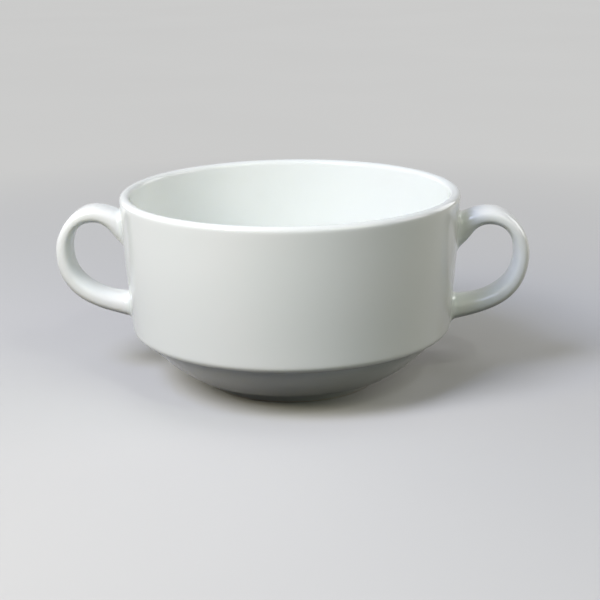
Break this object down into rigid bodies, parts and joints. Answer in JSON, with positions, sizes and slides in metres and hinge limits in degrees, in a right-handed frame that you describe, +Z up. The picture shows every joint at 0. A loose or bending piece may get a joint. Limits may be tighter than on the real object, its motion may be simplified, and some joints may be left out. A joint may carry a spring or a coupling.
{
  "type": "bouillon cup",
  "caption": "Stackable white glazed porcelain soup cup with a tapered wall, a drawn-in stacking cone, a foot ring and looped strap handles on opposite sides.",
  "frame": {"origin": "centre of the foot ring, on the plane that it rests on", "axes": "+X runs through the middle of one handle, +Z points up out of the mouth"},
  "size_m": [0.152, 0.108, 0.062],
  "materials": {
    "glaze": "clear gloss glaze over white porcelain"
  },
  "bodies": {
    "root": {"cup": "glaze"}
  },
  "joints": []
}
